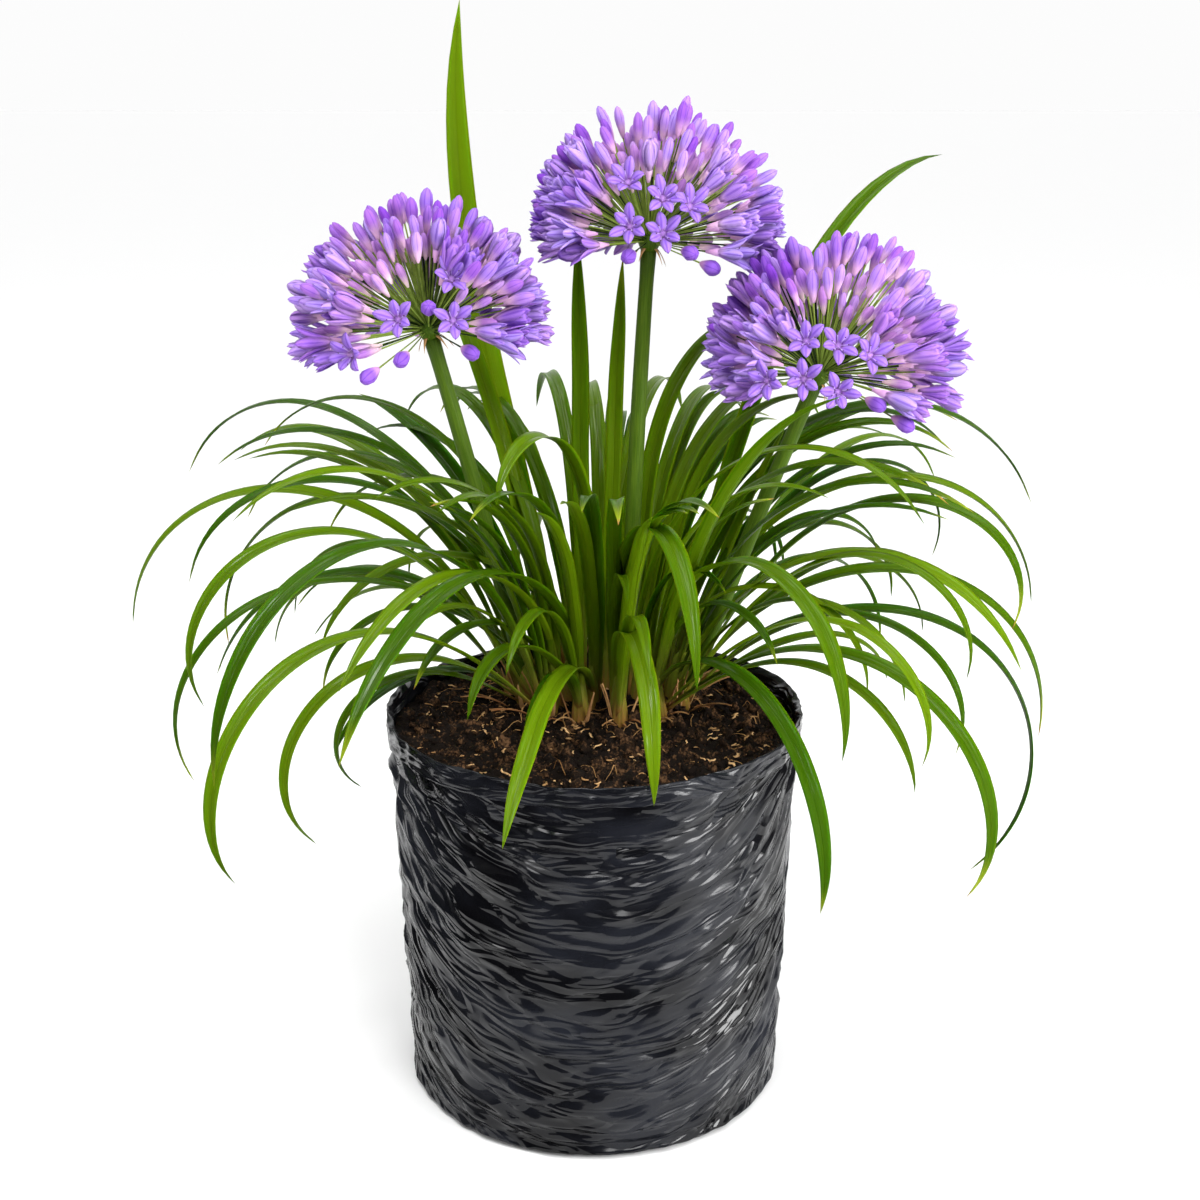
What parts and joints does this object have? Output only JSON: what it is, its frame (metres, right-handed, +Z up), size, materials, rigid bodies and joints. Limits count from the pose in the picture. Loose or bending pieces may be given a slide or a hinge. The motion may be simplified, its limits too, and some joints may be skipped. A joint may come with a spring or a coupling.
{
  "type": "potted agapanthus plant",
  "caption": "Flowering agapanthus with arching strap leaves and round violet flower heads on upright stalks, growing in a crumpled black film planter bag.",
  "frame": {"origin": "centre of the planter bag's flat underside, on the ground", "axes": "+Z up along the bag's axis; -Y is the plant's front, towards which the heads and the lower leaves face; +X is its right seen from the front"},
  "size_m": [0.5853, 0.4682, 0.6569],
  "materials": {
    "polythene_film": "crumpled glossy black film",
    "potting_soil": "dark crumbly compost with wood and root bits",
    "leaf_green": "satin strap leaves",
    "stalk_green": "smooth fleshy stalk",
    "floret_violet": "soft satin petals"
  },
  "bodies": {
    "root": {"planter_bag": "polythene_film", "soil": "potting_soil", "leaf_shoot_01": "leaf_green", "leaf_shoot_02": "leaf_green", "leaf_shoot_03": "leaf_green", "leaf_shoot_04": "leaf_green", "leaf_shoot_05": "leaf_green", "leaf_shoot_06": "leaf_green", "leaf_shoot_07": "leaf_green", "leaf_shoot_08": "leaf_green", "leaf_shoot_09": "leaf_green", "leaf_shoot_10": "leaf_green", "leaf_shoot_11": "leaf_green", "leaf_shoot_12": "leaf_green", "leaf_shoot_13": "leaf_green", "flower_stalk_1": "stalk_green", "flower_stalk_2": "stalk_green", "flower_stalk_3": "stalk_green", "flower_head_1": "floret_violet", "flower_head_2": "floret_violet", "flower_head_3": "floret_violet"}
  },
  "joints": []
}
